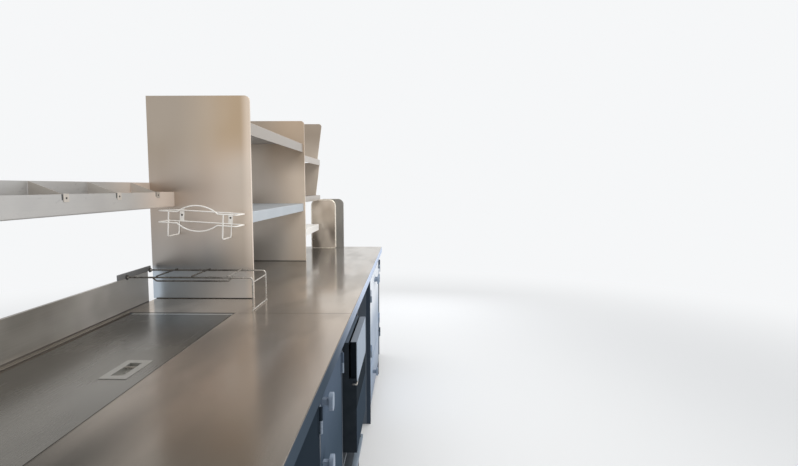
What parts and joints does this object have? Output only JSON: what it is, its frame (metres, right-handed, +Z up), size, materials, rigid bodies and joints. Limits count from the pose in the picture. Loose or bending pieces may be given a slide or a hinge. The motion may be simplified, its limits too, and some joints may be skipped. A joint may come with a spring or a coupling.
{
  "type": "food truck galley counter",
  "caption": "Stainless galley counter of a food truck: worktop with a flush lid over a cold well, shelf panels, bottle rail, wire rack, oven bay and cabinets with doors and a drawer.",
  "frame": {"origin": "on the floor, at the centre of the four floor fixings under the middle of the counter", "axes": "+X along the counter towards its far end, -Y out of the cabinet fronts, +Z up"},
  "size_m": [3.7, 0.949, 1.91],
  "materials": {
    "worktop_steel": "brushed, lightly scuffed",
    "panel_steel": "brushed",
    "cabinet_steel": "satin",
    "pale_front": "satin white",
    "dark_steel": "satin",
    "black_enamel": "gloss",
    "bright_wire": "plated",
    "white_wire": "coated",
    "latch_plastic": "moulded"
  },
  "bodies": {
    "counter": {"worktop": "worktop_steel", "lid_hinge": "worktop_steel", "rear_splash": "worktop_steel", "well_tub": "worktop_steel", "panel_1": "panel_steel", "panel_2": "panel_steel", "near_shelves": "panel_steel", "far_shelves": "panel_steel", "end_plates": "panel_steel", "bottle_rail": "panel_steel", "rail_dividers": "panel_steel", "splash_guards": "panel_steel", "end_sides": "cabinet_steel", "bay_dividers": "cabinet_steel", "pale_cabinet_sides": "cabinet_steel", "cabinet_floors": "cabinet_steel", "front_rails": "cabinet_steel", "door_hinges": "cabinet_steel", "drawer_runners": "cabinet_steel", "drawer_deck": "cabinet_steel", "oven_shelf": "cabinet_steel", "bay_deck": "cabinet_steel", "sill_bar": "cabinet_steel", "back_panels": "dark_steel", "plinths": "dark_steel", "rack_bar": "dark_steel", "oven_body": "black_enamel", "wire_rack": "bright_wire", "wire_holder": "white_wire"},
    "lid": {"lid": "worktop_steel", "lid_leaf": "worktop_steel", "lid_pull": "worktop_steel", "lid_bail": "worktop_steel"},
    "door_a": {"door_a": "cabinet_steel", "latch_a": "latch_plastic"},
    "door_b": {"door_b": "cabinet_steel", "latch_b": "latch_plastic"},
    "door_d1": {"door_d1": "pale_front", "latch_d1": "latch_plastic"},
    "door_d2": {"door_d2": "pale_front", "latch_d2": "latch_plastic"},
    "door_e": {"door_e": "cabinet_steel", "latch_e": "latch_plastic"},
    "drawer": {"drawer_front": "pale_front", "drawer_box": "cabinet_steel", "latch_drawer": "latch_plastic"},
    "oven_door": {"oven_door": "cabinet_steel"}
  },
  "joints": [
    {"name": "lid_hinge", "type": "hinge", "parent": "counter", "child": "lid", "pos_m": [-1.13, 0.4177, 0.905], "axis": [-1, 0, 0], "range_deg": [0, 75]},
    {"name": "door_a_hinge", "type": "hinge", "parent": "counter", "child": "door_a", "pos_m": [-1.123, -0.442, 0.48], "axis": [0, 0, 1], "range_deg": [0, 90]},
    {"name": "door_b_hinge", "type": "hinge", "parent": "counter", "child": "door_b", "pos_m": [-0.643, -0.442, 0.48], "axis": [0, 0, 1], "range_deg": [0, 110]},
    {"name": "door_d1_hinge", "type": "hinge", "parent": "counter", "child": "door_d1", "pos_m": [0.533, -0.463, 0.6], "axis": [0, 0, -1], "range_deg": [0, 110]},
    {"name": "door_d2_hinge", "type": "hinge", "parent": "counter", "child": "door_d2", "pos_m": [1.344, -0.463, 0.6], "axis": [0, 0, 1], "range_deg": [0, 110]},
    {"name": "door_e_hinge", "type": "hinge", "parent": "counter", "child": "door_e", "pos_m": [1.817, -0.442, 0.48], "axis": [0, 0, 1], "range_deg": [0, 110]},
    {"name": "drawer_slide", "type": "slide", "parent": "counter", "child": "drawer", "axis": [0, -1, 0], "range_m": [0, 0.42]},
    {"name": "oven_door_hinge", "type": "hinge", "parent": "counter", "child": "oven_door", "pos_m": [-0.31, -0.47, 0.648], "axis": [1, 0, 0], "range_deg": [0, 90]}
  ]
}
